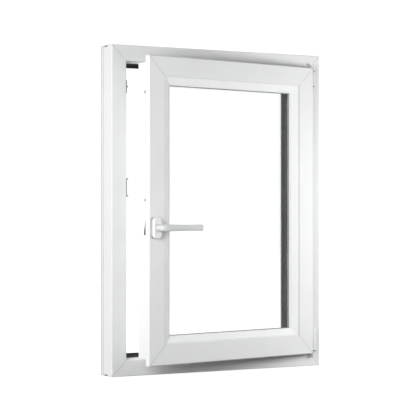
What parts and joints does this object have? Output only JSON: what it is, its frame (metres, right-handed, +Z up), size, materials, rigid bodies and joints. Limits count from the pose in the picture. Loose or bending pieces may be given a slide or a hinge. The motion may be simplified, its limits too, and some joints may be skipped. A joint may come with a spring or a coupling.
{
  "type": "tilt-and-turn window",
  "caption": "White PVC tilt-and-turn window, its sash opened into the room: welded frame and sash, clipped beads, triple glazing, seals, hinges, strikers and a lever handle",
  "frame": {"origin": "middle of the frame's flat bottom face, halfway through its depth", "axes": "+X along the wall towards the hinges, +Y from the room to the outside, +Z up"},
  "size_m": [0.84, 0.3065, 1.135],
  "materials": {
    "frame_profile": "white PVC with a faint sheen",
    "sash_profile": "white PVC with a faint sheen",
    "bead": "white PVC with a faint sheen",
    "glass": "clear float glass",
    "spacer": "matt aluminium",
    "glazing_gasket": "grey weather seal",
    "seal": "black weather seal",
    "striker": "dark zinc die casting",
    "hardware": "zinc-plated steel",
    "hinge_metal": "white powder coat",
    "hinge_cap": "white moulded cap",
    "handle": "white powder-coated lever handle"
  },
  "bodies": {
    "window": {"frame_sill": "frame_profile", "frame_head": "frame_profile", "frame_lock_jamb": "frame_profile", "frame_hinge_jamb": "frame_profile", "sash_bottom_rail": "sash_profile", "sash_top_rail": "sash_profile", "sash_lock_stile": "sash_profile", "sash_hinge_stile": "sash_profile", "bead_bottom": "bead", "bead_top": "bead", "bead_lock_side": "bead", "bead_hinge_side": "bead", "pane_inner": "glass", "pane_middle": "glass", "pane_outer": "glass", "spacer_inner": "spacer", "spacer_outer": "spacer", "glazing_gasket_inner": "glazing_gasket", "glazing_gasket_outer": "glazing_gasket", "stop_gasket": "seal", "centre_gasket": "seal", "overlap_gasket": "seal", "striker_main": "striker", "striker_upper": "striker", "striker_tilt": "striker", "lock_faceplate": "hardware", "corner_drive_top": "hardware", "corner_drive_bottom": "hardware", "top_faceplate": "hardware", "bottom_faceplate": "hardware", "tilt_rod": "hardware", "gear_case": "striker", "sash_lifter": "striker", "upper_frame_bearing": "hinge_metal", "stay_arm": "hardware", "upper_hinge_pin": "hinge_metal", "lower_frame_bearing": "hinge_metal", "lower_hinge_pin": "hardware", "lower_sash_band": "hardware", "lower_hinge_cap": "hinge_cap", "handle_rosette": "handle"},
    "handle": {"handle_lever": "handle", "handle_spindle": "hardware"},
    "rod": {"drive_rod": "hardware"}
  },
  "joints": [
    {"name": "handle_turn", "type": "hinge", "parent": "window", "child": "handle", "pos_m": [-0.33487, -0.20276, 0.51], "axis": [0.1788, -0.9839, 0], "range_deg": [-90, 90]},
    {"name": "rod_slide", "type": "slide", "parent": "window", "child": "rod", "axis": [0, 0, 1], "range_m": [-0.018, 0.018]}
  ],
  "couplings": [
    {"joint": "rod_slide", "follows": "handle_turn", "m_per_rad": -0.011459}
  ]
}
